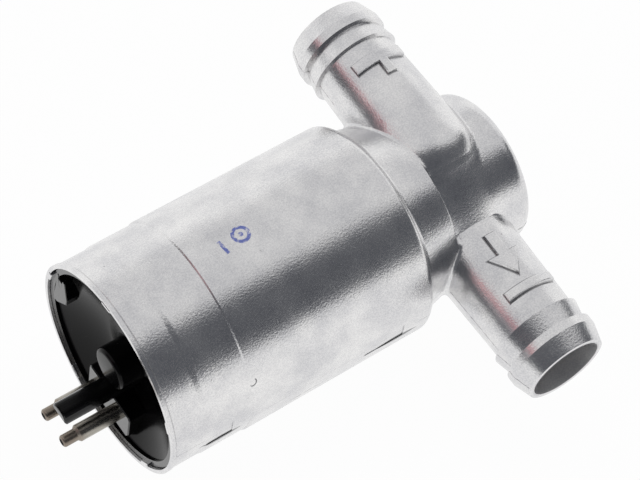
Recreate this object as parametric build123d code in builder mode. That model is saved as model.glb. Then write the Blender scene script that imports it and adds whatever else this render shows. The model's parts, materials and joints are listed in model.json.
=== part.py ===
from build123d import *
from math import asin, cos, degrees, radians, sin
import os

# Idle air control valve with a rotary slide.
# X runs along the can, from the connector end to the valve head. Y runs along both hose nozzles.
# Z is square to the mould's parting plane. The origin is on the can's axis, mid clamp band.

os.makedirs("parts", exist_ok=True)

# Clearances
press_gap = 0.02
seat_gap = 0.08
running_gap = 0.06
sweep_gap = 0.3

# Can: rim, collar, clamp band
band_diameter = 50.0
band_length = 46.5
collar_length = 20.0
collar_drop = 0.3
waist_drop = 0.55
waist_length = 8.0
waist_run = 1.1
waist_round = 1.0
rim_height = 0.9
rim_groove = 0.4
rim_groove_depth = 0.3
rim_wall = 0.7
barrel_wall = 2.6
step_bevel = 0.3

# Neck and valve head
shoulder_drop = 2.3
shoulder_run = 1.15
shoulder_round = 1.6
neck_length = 10.7
neck_taper = 2.3
neck_round = 1.4
lip_round = 0.5
head_diameter = 36.0
head_length = 22.2
head_round = 3.0
head_fillet = 1.4
head_wall = 2.9
end_wall = 3.0
shelf_setback = 3.0

# Hose nozzles: the inlet stands higher than the outlet and rides over the head as a round-ended hood
nozzle_set = 6.3
outlet_reach = 51.0
inlet_reach = 40.8
inlet_rise = 12.0
inlet_end = 2.5
mouth_radius = 9.6
land_radius = 10.9
barb_radius = 10.8
valley_radius = 9.9
root_radius = 10.8
lead_length = 4.2
land_length = 2.0
barb_back = 0.35
barb_pitch = 4.5
mouth_bore = 8.4
root_bore = 7.9
nozzle_fillet = 1.0
hood_fillet = 0.8

# Trimmed gates along the parting line on the front side
gate_flat_depth = 0.22
gate_flat_height = 4.5
collar_gate_start = 7.0
collar_gate_length = 8.0
band_gate_start = 49.0
band_gate_length = 10.0

# Connector cap and its stakes
cap_recess = 2.7
cap_floor = 6.4
cap_depth = 12.0
cap_collar_wall = 1.7
cap_skirt = 2.0
cap_skirt_wall = 1.5
stake_count = 5
stake_first = 12.0
stake_width = 3.4
stake_reach = 0.7
stake_height = 0.8
boss_radius = 7.6
boss_top = 1.6
boss_dish_radius = 4.9
boss_dish_depth = 0.9
pedestal_width = 17.0
pedestal_bottom = -20.0
pedestal_top = -5.6
pedestal_level = 0.9
pedestal_round = 2.2
ledge_edge = 14.2
ledge_level = 2.9
arch_radius = 2.6
arch_y = 14.4
arch_z = 5.4
slot_y = 19.6
slot_width = 1.4
slot_height = 3.6
web_thickness = 1.4
web_bite = 0.5
web_angles = (20, 65, 115, 160, 200)
edge_round = 0.35

# Key post and plug pins
key_radius = 2.7
key_z = -8.6
key_reach = 12.2
pin_spacing = 7.2
pin_z = -13.9
pin_radius = 1.95
pin_tip_radius = 1.4
pin_tip_length = 3.4
pin_reach = 13.2
pin_crown = 0.6
pin_tail_radius = 1.0

# O-ring
oring_section = 0.9
oring_room = 0.1
oring_set = 9.4

# Bearing plate
plate_thickness = 6.0
spigot_length = 6.0
seal_radius = 7.0
seal_width = 3.2
seal_lip = 1.0
shaft_hole_gap = 1.0
bearing_lip = 1.5
screw_circle = 18.2
screw_radius = 1.5
screw_head_radius = 2.8
screw_head_height = 2.0
screw_socket = 1.2
screw_socket_depth = 1.0
screw_grip = 6.5
screw_count = 3

# Ball bearings
front_bearing_outer = 9.5
front_bearing_width = 6.0
front_ball_radius = 1.7
front_ball_count = 8
rear_bearing_outer = 7.0
rear_bearing_width = 5.0
rear_ball_radius = 1.3
rear_ball_count = 8
race_depth = 0.3
cage_wall = 1.0
cage_rim = 0.5
circlip_thickness = 0.8
circlip_set = 0.2
circlip_inner = 8.3
circlip_bite = 0.5
circlip_opening = 6.0

# Shaft and rotor
shaft_radius = 3.6
front_journal = 3.0
rear_journal = 2.5
magnet_radius = 10.5
magnet_length = 27.0
magnet_end = 5.0
magnet_bevel = 0.8
air_gap = 0.5

# Stator
flux_wall = 1.7
shoe_thickness = 2.5
shoe_half_angle = 55.0
stem_width = 10.0
bobbin_wall = 0.8
bobbin_width = 18.6
bobbin_overhang = 4.6
bobbin_height = 4.4
bobbin_round = 2.3
bobbin_room = 0.2
winding_set = 0.4

# Return spring, stop and slide
spring_strip = 0.45
spring_width = 3.0
spring_inner = 5.4
spring_step = 1.3
spring_turns = 5
spring_set = 4.7
collar_radius = 5.0
collar_width = 3.6
post_radius = 1.0
pin_bevel = 0.3
arm_thickness = 1.8
arm_gap = 0.85
arm_rim = 2.6
arm_hub = 6.0
stop_circle = 13.0
stop_radius = 1.5
stop_bite = 3.6
stop_angle = 180.0
turn_closing = 45.0
turn_opening = 30.0
slide_arc = 80.0
slide_wall = 1.8
slide_lap = 3.0
slide_lead = 1.8
slide_web = 2.5
slide_hub_radius = 5.0
slide_hub_length = 5.0
slide_screw_radius = 1.25
slide_screw_length = 7.0
slide_screw_head = 2.6
slide_screw_head_height = 1.8
slide_screw_round = 0.6
slide_screw_socket = 0.9

# Stations along the can and radii that follow from the sizes above
band_radius = band_diameter / 2
collar_radius_outer = band_radius - collar_drop
waist_radius = band_radius - waist_drop
cap_bore = waist_radius - rim_wall
barrel_bore = band_radius - barrel_wall
head_radius = head_diameter / 2
chamber_radius = head_radius - head_wall
neck_start = band_radius - shoulder_drop
neck_end = neck_start - neck_taper

x_step = -band_length / 2
x_rim = x_step - collar_length
x_seat = x_rim + cap_depth
x_shoulder = band_length / 2
x_shelf = x_shoulder - shelf_setback
x_lip = x_shoulder + neck_length
x_end = x_lip + head_length
x_chamber_end = x_end - end_wall
nozzle_x = x_lip + nozzle_set
x_plate = x_shelf - plate_thickness
x_spigot = x_shelf + spigot_length
x_front_bearing = x_plate + circlip_thickness + circlip_set
x_rear_bearing = x_seat - rear_bearing_width
x_flux = x_seat + cap_skirt
x_slide = nozzle_x - root_bore - slide_lap

flux_bore = barrel_bore - seat_gap - flux_wall
shoe_bore = magnet_radius + air_gap
shoe_back = shoe_bore + shoe_thickness
x_magnet = magnet_end - magnet_length
slide_centre = 180.0 + turn_closing
slide_length = 2 * root_bore + slide_lap + slide_lead
x_shaft_end = x_slide + slide_web
x_spring = magnet_end + spring_set - spring_width
x_arm = x_plate - arm_gap - arm_thickness
arm_reach = stop_circle + stop_radius + sweep_gap + arm_rim
arm_margin = degrees(asin((stop_radius + sweep_gap + arm_rim) / stop_circle))
arm_start = stop_angle - turn_opening - arm_margin
arm_sweep = turn_opening + turn_closing + 2 * arm_margin
spring_outer = spring_inner + spring_step * spring_turns
post_place = (spring_outer + spring_strip / 2 + post_radius + seat_gap, 0)
stop_place = (stop_circle * cos(radians(stop_angle)), stop_circle * sin(radians(stop_angle)))


def keep(piece, name):
    """Label a finished piece and write it to its own file."""
    piece.part.label = name
    export_step(piece.part, f"parts/{name}.step")


def station(x, turn=1):
    """Plane across the can at x. With turn -1 it is turned half round the axis."""
    return Plane(origin=(x, 0, 0), x_dir=(0, turn, 0), z_dir=(1, 0, 0))


def outline(*corners, level=0):
    """Closed outline in a level plane, to be turned about an axis in that plane."""
    with BuildSketch(Plane.XY.offset(level)) as shape:
        with BuildLine():
            Polyline(*corners, close=True)
        make_face()
    return shape.sketch


def nozzle_outline(side, reach, inner_end, level):
    """Half section of a barbed nozzle: tapered end land, valley, one barb and a drafted tube."""
    land_start = reach - lead_length
    land_end = land_start - land_length
    valley = land_end - barb_back
    barb = land_end - barb_pitch
    tube = barb - barb_back
    corners = [
        (0, reach),
        (mouth_radius, reach),
        (land_radius, land_start),
        (land_radius, land_end),
        (valley_radius, valley),
        (barb_radius, barb),
        (valley_radius, tube),
        (root_radius, inner_end),
        (0, inner_end),
    ]
    return outline(*[(nozzle_x + radius, side * y) for radius, y in corners], level=level)


def bore_outline(side, reach, inner_end, level):
    """Half section of a nozzle's drafted bore, from its mouth to the valve chamber."""
    corners = [
        (0, reach),
        (mouth_bore, reach),
        (root_bore, chamber_radius),
        (root_bore, inner_end),
        (0, inner_end),
    ]
    return outline(*[(nozzle_x + radius, side * y) for radius, y in corners], level=level)


def root_edges(piece, earlier):
    """Edges where a newly added nozzle runs into the can, without its own rings and seam."""
    fresh = piece.edges() - earlier
    curves = fresh.filter_by(GeomType.CIRCLE, reverse=True).filter_by(GeomType.LINE, reverse=True)
    return [edge for edge in curves if abs(edge.center().Y) < neck_start]


# Valve housing: one die casting
outlet_axis = Axis((nozzle_x, 0, 0), (0, 1, 0))
inlet_axis = Axis((nozzle_x, 0, inlet_rise), (0, 1, 0))
with BuildPart() as valve_housing:
    with BuildSketch(Plane.XY):
        with BuildLine():
            skin = FilletPolyline(
                (x_rim, 0),
                (x_rim, collar_radius_outer),
                (x_rim + rim_height, collar_radius_outer),
                (x_rim + rim_height, waist_radius - rim_groove_depth),
                (x_rim + rim_height + rim_groove, waist_radius),
                (x_rim + waist_length, waist_radius),
                (x_rim + waist_length + waist_run, collar_radius_outer),
                (x_step - step_bevel, collar_radius_outer),
                (x_step, band_radius),
                (x_shoulder, band_radius),
                (x_shoulder + shoulder_run, neck_start),
                (x_lip, neck_end),
                (x_lip, head_radius),
                (x_end, head_radius),
                (x_end, 0),
                radius=[0, 0, 0, 0, waist_round, waist_round, 0, 0, shoulder_round]
                + [neck_round, lip_round, head_fillet, head_round],
            )
            Line(skin @ 1, skin @ 0)
        make_face()
    revolve(axis=Axis.X)
    earlier = valve_housing.edges()
    revolve(nozzle_outline(-1, outlet_reach, 0, 0), axis=outlet_axis)
    fillet(root_edges(valve_housing, earlier), nozzle_fillet)
    earlier = valve_housing.edges()
    revolve(nozzle_outline(1, inlet_reach, inlet_end, inlet_rise), axis=inlet_axis)
    with Locations((nozzle_x, inlet_end, inlet_rise)):
        Sphere(root_radius)
    fillet(root_edges(valve_housing, earlier), hood_fillet)
    hollow = outline(
        (x_rim, 0),
        (x_rim, cap_bore),
        (x_seat, cap_bore),
        (x_seat, barrel_bore),
        (x_shelf, barrel_bore),
        (x_shelf, chamber_radius),
        (x_chamber_end, chamber_radius),
        (x_chamber_end, 0),
    )
    revolve(hollow, axis=Axis.X, mode=Mode.SUBTRACT)
    revolve(bore_outline(-1, outlet_reach, 0, 0), axis=outlet_axis, mode=Mode.SUBTRACT)
    revolve(bore_outline(1, inlet_reach, inlet_end, inlet_rise), axis=inlet_axis, mode=Mode.SUBTRACT)
    with BuildSketch(station(x_shelf)):
        with PolarLocations(screw_circle, screw_count, start_angle=90):
            Circle(screw_radius + press_gap)
    extrude(amount=screw_grip + sweep_gap, mode=Mode.SUBTRACT)
    with BuildSketch(station(x_rim + cap_recess - stake_height)):
        with PolarLocations(cap_bore - stake_reach / 2, stake_count, start_angle=stake_first):
            Rectangle(stake_reach + rim_wall, stake_width)
    extrude(amount=stake_height)
    for gate_start, gate_length, gate_face in (
        (collar_gate_start, collar_gate_length, collar_radius_outer),
        (band_gate_start, band_gate_length, band_radius),
    ):
        with BuildSketch(Plane.XZ.offset(gate_face - gate_flat_depth)):
            with Locations((x_rim + gate_start + gate_length / 2, 0)):
                Rectangle(gate_length, gate_flat_height)
        extrude(amount=gate_flat_depth * 2, mode=Mode.SUBTRACT)
keep(valve_housing, "valve_housing")

# Connector cap: moulded plate with collar, bearing boss, pedestal and key post
cap_radius = cap_bore - seat_gap
cap_inside = cap_radius - cap_collar_wall
skirt_radius = barrel_bore - seat_gap
groove_bottom = cap_radius - 2 * (oring_section + oring_room)
groove_half = oring_section + oring_room
with BuildPart() as connector_cap:
    cap_section = outline(
        (x_rim + cap_floor, 0),
        (x_rim + cap_floor, cap_inside),
        (x_rim + cap_recess, cap_inside),
        (x_rim + cap_recess, cap_radius),
        (x_rim + oring_set - groove_half, cap_radius),
        (x_rim + oring_set - groove_half, groove_bottom),
        (x_rim + oring_set + groove_half, groove_bottom),
        (x_rim + oring_set + groove_half, cap_radius),
        (x_seat, cap_radius),
        (x_seat, skirt_radius),
        (x_flux, skirt_radius),
        (x_flux, skirt_radius - cap_skirt_wall),
        (x_seat, skirt_radius - cap_skirt_wall),
        (x_seat, 0),
    )
    revolve(cap_section, axis=Axis.X)
    with BuildSketch(station(x_rim + cap_floor)):
        with Locations((ledge_edge + cap_radius / 2, 0)):
            Rectangle(cap_radius, 2 * cap_radius)
        Circle(cap_inside + seat_gap, mode=Mode.INTERSECT)
    extrude(amount=ledge_level - cap_floor)
    with BuildSketch(station(x_rim + cap_floor)):
        for angle in web_angles:
            with Locations(Location((0, 0, 0), (0, 0, angle))):
                with Locations(((boss_radius + cap_inside) / 2, 0)):
                    Rectangle(cap_inside - boss_radius + 2 * web_bite, web_thickness)
    extrude(amount=cap_recess - cap_floor + boss_dish_depth)
    with BuildSketch(station(x_rim + cap_floor)):
        Circle(boss_radius)
    extrude(amount=boss_top - cap_floor)
    fillet(connector_cap.edges().group_by(Axis.X)[0], edge_round)
    with BuildSketch(station(x_rim + cap_floor)):
        with Locations((0, (pedestal_bottom + pedestal_top) / 2)):
            RectangleRounded(pedestal_width, pedestal_top - pedestal_bottom, pedestal_round)
    extrude(amount=pedestal_level - cap_floor)
    fillet(connector_cap.edges().group_by(Axis.X)[0], edge_round)
    with BuildSketch(station(x_rim + boss_top)):
        Circle(boss_dish_radius)
    extrude(amount=boss_dish_depth, mode=Mode.SUBTRACT)
    with BuildSketch(station(x_rim + ledge_level)):
        with Locations((arch_y, arch_z)):
            Circle(arch_radius)
        with Locations((slot_y, 0)):
            Rectangle(slot_width, slot_height)
    extrude(amount=cap_floor - ledge_level, mode=Mode.SUBTRACT)
    with BuildSketch(station(x_rim + pedestal_level)):
        with Locations((0, key_z)):
            Circle(key_radius)
            with Locations((0, -key_radius)):
                Rectangle(2 * key_radius, 2 * key_radius, mode=Mode.SUBTRACT)
    extrude(amount=-key_reach - pedestal_level)
    key_end = connector_cap.faces().sort_by(Axis.X)[0]
    chamfer(key_end.edges(), edge_round)
    with BuildSketch(station(x_seat)):
        Circle(rear_bearing_outer + press_gap)
    extrude(amount=-rear_bearing_width, mode=Mode.SUBTRACT)
    with BuildSketch(station(x_rear_bearing)):
        Circle(rear_journal + shaft_hole_gap)
    extrude(amount=-shaft_hole_gap, mode=Mode.SUBTRACT)
    with BuildSketch(station(x_rim)):
        with Locations((pin_spacing / 2, pin_z), (-pin_spacing / 2, pin_z)):
            Circle(pin_radius + press_gap)
    extrude(amount=cap_floor, mode=Mode.SUBTRACT)
    with BuildSketch(station(x_rim)):
        with Locations((pin_spacing / 2, pin_z), (-pin_spacing / 2, pin_z)):
            Circle(pin_tail_radius + press_gap)
    extrude(amount=cap_depth, mode=Mode.SUBTRACT)
keep(connector_cap, "connector_cap")

# O-ring round the cap
with BuildPart(station(x_rim + oring_set)) as cap_seal_ring:
    Torus(cap_radius - oring_section - oring_room / 2, oring_section)
keep(cap_seal_ring, "cap_seal_ring")

# Plug pins: a narrow crowned tip, a thick body through the pedestal and a thin tail to the coil
bobbin_start = x_magnet - bobbin_overhang
for pin_name, pin_side in (("terminal_pin_left", 1), ("terminal_pin_right", -1)):
    x_tip = x_rim - pin_reach
    x_root = x_rim + cap_floor
    pin_y = pin_side * pin_spacing / 2
    with BuildPart() as terminal_pin:
        with BuildSketch(Plane.XY.offset(pin_z)):
            with BuildLine():
                side = FilletPolyline(
                    (x_tip, pin_y),
                    (x_tip, pin_y + pin_tip_radius),
                    (x_tip + pin_tip_length, pin_y + pin_tip_radius),
                    (x_tip + pin_tip_length + pin_crown, pin_y + pin_radius),
                    (x_root, pin_y + pin_radius),
                    (x_root, pin_y + pin_tail_radius),
                    (bobbin_start - sweep_gap, pin_y + pin_tail_radius),
                    (bobbin_start - sweep_gap, pin_y),
                    radius=[pin_crown, 0, 0, 0, 0, 0],
                )
                Line(side @ 1, side @ 0)
            make_face()
        revolve(axis=Axis((x_tip, pin_y, pin_z), (1, 0, 0)))
    keep(terminal_pin, pin_name)

# Stator: flux ring, two pole shoes, each with its bobbin and winding
with BuildPart() as flux_ring:
    wall = outline(
        (x_flux, flux_bore),
        (x_flux, barrel_bore - seat_gap),
        (x_plate, barrel_bore - seat_gap),
        (x_plate, flux_bore),
    )
    revolve(wall, axis=Axis.X)
keep(flux_ring, "flux_ring")

bobbin_base = shoe_back + bobbin_room
core_length = magnet_length + 2 * (bobbin_room + bobbin_wall)
core_width = stem_width + 2 * (bobbin_room + bobbin_wall)
bobbin_length = magnet_length + 2 * bobbin_overhang
magnet_middle = x_magnet + magnet_length / 2
for place, turn in (("upper", 1), ("lower", -1)):
    with BuildPart() as pole_shoe:
        with BuildSketch(station(x_magnet, turn)):
            with Locations((0, (shoe_bore + flux_bore) / 2)):
                Rectangle(stem_width, flux_bore - shoe_bore)
            Circle(flux_bore - seat_gap, mode=Mode.INTERSECT)
            with BuildLine():
                tip = CenterArc((0, 0), shoe_back, 90 - shoe_half_angle, 2 * shoe_half_angle)
                face = CenterArc((0, 0), shoe_bore, 90 - shoe_half_angle, 2 * shoe_half_angle)
                Line(tip @ 0, face @ 0)
                Line(tip @ 1, face @ 1)
            make_face()
            Circle(shoe_bore, mode=Mode.SUBTRACT)
        extrude(amount=magnet_length)
    keep(pole_shoe, f"pole_shoe_{place}")

    floor = Plane(origin=(magnet_middle, 0, turn * bobbin_base), x_dir=(1, 0, 0), z_dir=(0, 0, turn))
    with BuildPart() as coil_bobbin:
        for level in (0, bobbin_height - bobbin_wall):
            with BuildSketch(floor.offset(level)):
                RectangleRounded(bobbin_length, bobbin_width, bobbin_round)
            extrude(amount=bobbin_wall)
        with BuildSketch(floor):
            Rectangle(core_length, core_width)
        extrude(amount=bobbin_height)
        with BuildSketch(floor):
            Rectangle(magnet_length + 2 * bobbin_room, stem_width + 2 * bobbin_room)
        extrude(amount=bobbin_height, mode=Mode.SUBTRACT)
    keep(coil_bobbin, f"coil_bobbin_{place}")

    with BuildPart() as coil_winding:
        with BuildSketch(floor.offset(bobbin_wall + press_gap)):
            RectangleRounded(bobbin_length - 2 * winding_set, bobbin_width - 2 * winding_set, bobbin_round)
            Rectangle(core_length + 2 * press_gap, core_width + 2 * press_gap, mode=Mode.SUBTRACT)
        extrude(amount=bobbin_height - 2 * (bobbin_wall + press_gap))
    keep(coil_winding, f"coil_winding_{place}")

# Bearing plate between the motor and the valve chamber
front_seat_end = x_front_bearing + front_bearing_width
seal_start = front_seat_end + bearing_lip
spigot_radius = chamber_radius - seat_gap
circlip_outer = front_bearing_outer + circlip_bite
with BuildPart() as bearing_plate:
    plate_section = outline(
        (x_plate, front_bearing_outer + press_gap),
        (x_plate, barrel_bore - seat_gap),
        (x_shelf, barrel_bore - seat_gap),
        (x_shelf, spigot_radius),
        (x_spigot, spigot_radius),
        (x_spigot, seal_radius + press_gap),
        (seal_start, seal_radius + press_gap),
        (seal_start, front_journal + shaft_hole_gap),
        (front_seat_end, front_journal + shaft_hole_gap),
        (front_seat_end, front_bearing_outer + press_gap),
    )
    revolve(plate_section, axis=Axis.X)
    with BuildSketch(station(x_front_bearing - circlip_thickness)):
        Circle(circlip_outer + press_gap)
    extrude(amount=circlip_thickness, mode=Mode.SUBTRACT)
    with BuildSketch(station(x_plate)):
        with PolarLocations(screw_circle, screw_count, start_angle=90):
            Circle(screw_radius + press_gap)
    extrude(amount=plate_thickness, mode=Mode.SUBTRACT)
    with BuildSketch(station(x_plate)):
        with PolarLocations(screw_circle, screw_count, start_angle=90):
            Circle(screw_head_radius + press_gap)
    extrude(amount=screw_head_height, mode=Mode.SUBTRACT)
    with BuildSketch(station(x_plate)):
        with Locations(stop_place):
            Circle(stop_radius + press_gap)
        with Locations(post_place):
            Circle(post_radius + press_gap)
    extrude(amount=stop_bite, mode=Mode.SUBTRACT)
keep(bearing_plate, "bearing_plate")

with BuildPart() as plate_screws:
    with BuildSketch(station(x_plate)):
        with PolarLocations(screw_circle, screw_count, start_angle=90):
            Circle(screw_head_radius)
    extrude(amount=screw_head_height)
    with BuildSketch(station(x_plate + screw_head_height)):
        with PolarLocations(screw_circle, screw_count, start_angle=90):
            Circle(screw_radius)
    extrude(amount=plate_thickness - screw_head_height + screw_grip)
    with BuildSketch(station(x_plate)):
        with PolarLocations(screw_circle, screw_count, start_angle=90):
            RegularPolygon(screw_socket, 6)
    extrude(amount=screw_socket_depth, mode=Mode.SUBTRACT)
keep(plate_screws, "plate_screws")

with BuildPart() as stop_pin:
    with BuildSketch(station(x_arm - sweep_gap)):
        with Locations(stop_place):
            Circle(stop_radius)
    extrude(amount=x_plate + stop_bite - x_arm + sweep_gap)
    chamfer(stop_pin.edges().group_by(Axis.X)[0], pin_bevel)
keep(stop_pin, "stop_pin")

with BuildPart() as spring_post:
    with BuildSketch(station(x_spring - sweep_gap)):
        with Locations(post_place):
            Circle(post_radius)
    extrude(amount=x_plate + stop_bite - x_spring + sweep_gap)
    chamfer(spring_post.edges().group_by(Axis.X)[0], pin_bevel)
keep(spring_post, "spring_post")

with BuildPart() as bearing_circlip:
    with BuildSketch(station(x_front_bearing - circlip_thickness)):
        Circle(circlip_outer)
        Circle(circlip_inner, mode=Mode.SUBTRACT)
        with Locations((circlip_outer, 0)):
            Rectangle(circlip_outer, circlip_opening, mode=Mode.SUBTRACT)
    extrude(amount=circlip_thickness)
keep(bearing_circlip, "bearing_circlip")

with BuildPart() as shaft_seal:
    seal_section = outline(
        (seal_start, front_journal + shaft_hole_gap),
        (seal_start, seal_radius),
        (seal_start + seal_width, seal_radius),
        (seal_start + seal_width, seal_radius - seal_lip),
        (seal_start + seal_lip, seal_radius - seal_lip),
        (seal_start + seal_lip, front_journal + 2 * seal_lip),
        (seal_start + seal_width, front_journal + seal_lip),
        (seal_start + seal_width, front_journal + running_gap),
        (seal_start + seal_width - seal_lip, front_journal + running_gap),
    )
    revolve(seal_section, axis=Axis.X)
keep(shaft_seal, "shaft_seal")


# Ball bearings: outer ring, inner ring, balls and a pocketed cage
def ball_bearing(name, x, bore, outer, width, ball, count):
    """Four pieces of a deep-groove bearing whose left face stands at x."""
    middle = x + width / 2
    pitch = (bore + outer) / 2
    groove = ball + running_gap
    shoulder = ball - race_depth * ball

    with BuildPart(station(middle)) as outer_ring:
        Cylinder(outer, width)
        Cylinder(pitch + shoulder, width, mode=Mode.SUBTRACT)
        Torus(pitch, groove, mode=Mode.SUBTRACT)
    keep(outer_ring, f"{name}_bearing_outer_ring")

    with BuildPart(station(middle)) as inner_ring:
        Cylinder(pitch - shoulder, width)
        Cylinder(bore + press_gap, width, mode=Mode.SUBTRACT)
        Torus(pitch, groove, mode=Mode.SUBTRACT)
    keep(inner_ring, f"{name}_bearing_inner_ring")

    with BuildPart(station(middle)) as balls:
        with PolarLocations(pitch, count):
            Sphere(ball)
    keep(balls, f"{name}_bearing_balls")

    with BuildPart(station(middle)) as cage:
        Cylinder(pitch + cage_wall / 2, 2 * (groove + cage_rim))
        Cylinder(pitch - cage_wall / 2, 2 * (groove + cage_rim), mode=Mode.SUBTRACT)
        with PolarLocations(pitch, count):
            Cylinder(groove, outer - bore, rotation=(0, 90, 0), mode=Mode.SUBTRACT)
    keep(cage, f"{name}_bearing_cage")


ball_bearing(
    "front", x_front_bearing, front_journal, front_bearing_outer, front_bearing_width,
    front_ball_radius, front_ball_count,
)
ball_bearing(
    "rear", x_rear_bearing, rear_journal, rear_bearing_outer, rear_bearing_width,
    rear_ball_radius, rear_ball_count,
)

# Rotor: stepped shaft, magnet, spring collar and stop arm
with BuildPart() as rotor_shaft:
    shaft_section = outline(
        (x_rear_bearing, 0),
        (x_rear_bearing, rear_journal),
        (x_seat, rear_journal),
        (x_seat, shaft_radius),
        (x_front_bearing, shaft_radius),
        (x_front_bearing, front_journal),
        (x_shaft_end, front_journal),
        (x_shaft_end, 0),
    )
    revolve(shaft_section, axis=Axis.X)
    with BuildSketch(station(x_shaft_end)):
        Circle(slide_screw_radius + press_gap)
    extrude(amount=-slide_screw_length - sweep_gap, mode=Mode.SUBTRACT)
keep(rotor_shaft, "rotor_shaft")

with BuildPart() as rotor_magnet:
    with BuildSketch(station(x_magnet)):
        Circle(magnet_radius)
    extrude(amount=magnet_length)
    chamfer(rotor_magnet.edges(), magnet_bevel)
    with BuildSketch(station(x_magnet)):
        Circle(shaft_radius + press_gap)
    extrude(amount=magnet_length, mode=Mode.SUBTRACT)
keep(rotor_magnet, "rotor_magnet")

with BuildPart() as spring_collar:
    with BuildSketch(station(x_spring - (collar_width - spring_width) / 2)):
        Circle(collar_radius)
        Circle(shaft_radius + press_gap, mode=Mode.SUBTRACT)
    extrude(amount=collar_width)
keep(spring_collar, "spring_collar")

with BuildPart() as stop_arm:
    with BuildSketch(station(x_arm)):
        Circle(arm_hub)
        with BuildLine():
            rim = CenterArc((0, 0), arm_reach, arm_start, arm_sweep)
            Line(rim @ 1, (0, 0))
            Line((0, 0), rim @ 0)
        make_face()
        Circle(shaft_radius + press_gap, mode=Mode.SUBTRACT)
    extrude(amount=arm_thickness)
    with BuildSketch(station(x_arm)):
        with BuildLine(mode=Mode.PRIVATE) as travel:
            CenterArc((0, 0), stop_circle, stop_angle - turn_opening, turn_opening + turn_closing)
        SlotArc(travel.wires()[0], 2 * (stop_radius + sweep_gap))
    extrude(amount=arm_thickness, mode=Mode.SUBTRACT)
keep(stop_arm, "stop_arm")

# Return spring: a flat spiral of half circles about two centres, which step outwards in turn
with BuildPart() as return_spring:
    with BuildSketch(station(x_spring)):
        with BuildLine() as spiral:
            for half in range(2 * spring_turns):
                offset = spring_step / 2 * (half % 2)
                radius = spring_inner + spring_step / 2 * half
                CenterArc((offset, 0), radius, 180 * (half % 2), 180)
        trace(line_width=spring_strip)
    extrude(amount=spring_width)
keep(return_spring, "return_spring")

# Rotary slide: a wall that covers the front nozzle's port, on a web and a hub
slide_outer = chamber_radius - sweep_gap
slide_inner = slide_outer - slide_wall
slide_first = slide_centre - slide_arc / 2
with BuildPart() as rotary_slide:
    with BuildSketch(station(x_slide)):
        with BuildLine():
            rim = CenterArc((0, 0), slide_outer, slide_first, slide_arc)
            Line(rim @ 1, (0, 0))
            Line((0, 0), rim @ 0)
        make_face()
        Circle(slide_hub_radius)
    extrude(amount=slide_web)
    with BuildSketch(station(x_slide)):
        with BuildLine():
            rim = CenterArc((0, 0), slide_outer, slide_first, slide_arc)
            back = CenterArc((0, 0), slide_inner, slide_first, slide_arc)
            Line(rim @ 0, back @ 0)
            Line(rim @ 1, back @ 1)
        make_face()
    extrude(amount=slide_length)
    with BuildSketch(station(x_slide + slide_web)):
        Circle(slide_hub_radius)
    extrude(amount=-slide_hub_length)
    with BuildSketch(station(x_slide + slide_web)):
        Circle(front_journal + press_gap)
    extrude(amount=-slide_hub_length, mode=Mode.SUBTRACT)
keep(rotary_slide, "rotary_slide")

with BuildPart() as slide_screw:
    with BuildSketch(station(x_shaft_end)):
        Circle(slide_screw_radius)
    extrude(amount=-slide_screw_length)
    with BuildSketch(station(x_slide + slide_web)):
        Circle(slide_screw_head)
    extrude(amount=slide_screw_head_height)
    fillet(slide_screw.edges().group_by(Axis.X)[-1], slide_screw_round)
    with BuildSketch(station(x_slide + slide_web + slide_screw_head_height)):
        RegularPolygon(slide_screw_radius, 6)
    extrude(amount=-slide_screw_socket, mode=Mode.SUBTRACT)
keep(slide_screw, "slide_screw")
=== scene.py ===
# %% [markdown]
# # A rotary idle air valve, dressed for the photograph
# The solids of the valve come in as a fixed frame, in metres: X along the can, Y along the hose
# nozzles, Z up. This lesson adds what the solids leave out: the skin of the die casting, an
# inspector's ink, the bowl of the plug end, the hood over the inlet, the raised signs on the nozzles
# and the seam where the mould closed. Nothing in the frame is moved, so every new piece is worked out
# in the same coordinates, in millimetres until it goes into its mesh.

# %% load the frame
import json
from math import pi, radians

import bmesh
import bpy
import numpy as np
from mathutils import Matrix, Vector
from mathutils.bvhtree import BVHTree


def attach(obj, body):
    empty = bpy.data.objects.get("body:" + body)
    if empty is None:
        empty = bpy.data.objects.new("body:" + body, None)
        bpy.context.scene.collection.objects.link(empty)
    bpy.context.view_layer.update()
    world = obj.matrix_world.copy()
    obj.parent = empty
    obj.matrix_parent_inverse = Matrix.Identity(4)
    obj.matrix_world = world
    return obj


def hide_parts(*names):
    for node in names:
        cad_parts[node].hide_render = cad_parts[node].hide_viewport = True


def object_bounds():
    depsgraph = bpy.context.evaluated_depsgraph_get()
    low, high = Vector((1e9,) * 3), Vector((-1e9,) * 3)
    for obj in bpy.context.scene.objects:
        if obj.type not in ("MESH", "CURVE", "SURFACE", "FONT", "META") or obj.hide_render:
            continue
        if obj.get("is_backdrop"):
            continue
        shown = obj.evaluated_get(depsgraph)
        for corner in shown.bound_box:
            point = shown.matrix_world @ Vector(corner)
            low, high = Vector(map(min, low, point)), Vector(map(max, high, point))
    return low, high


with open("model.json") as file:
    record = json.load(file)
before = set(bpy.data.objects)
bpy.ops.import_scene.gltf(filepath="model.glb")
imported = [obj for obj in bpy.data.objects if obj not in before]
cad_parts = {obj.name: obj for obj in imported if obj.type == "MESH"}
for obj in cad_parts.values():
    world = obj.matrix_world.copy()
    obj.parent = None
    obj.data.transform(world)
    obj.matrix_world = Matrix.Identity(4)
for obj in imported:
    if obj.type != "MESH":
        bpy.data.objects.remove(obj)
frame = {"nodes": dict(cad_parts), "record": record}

cad_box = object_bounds()
nodes = frame["nodes"]
slot_of = {row["node"]: row["material_slot"] for row in frame["record"]["subparts"]}
mm = 0.001
print("nodes", len(nodes), "box", [tuple(round(v, 4) for v in corner) for corner in cad_box])

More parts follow.
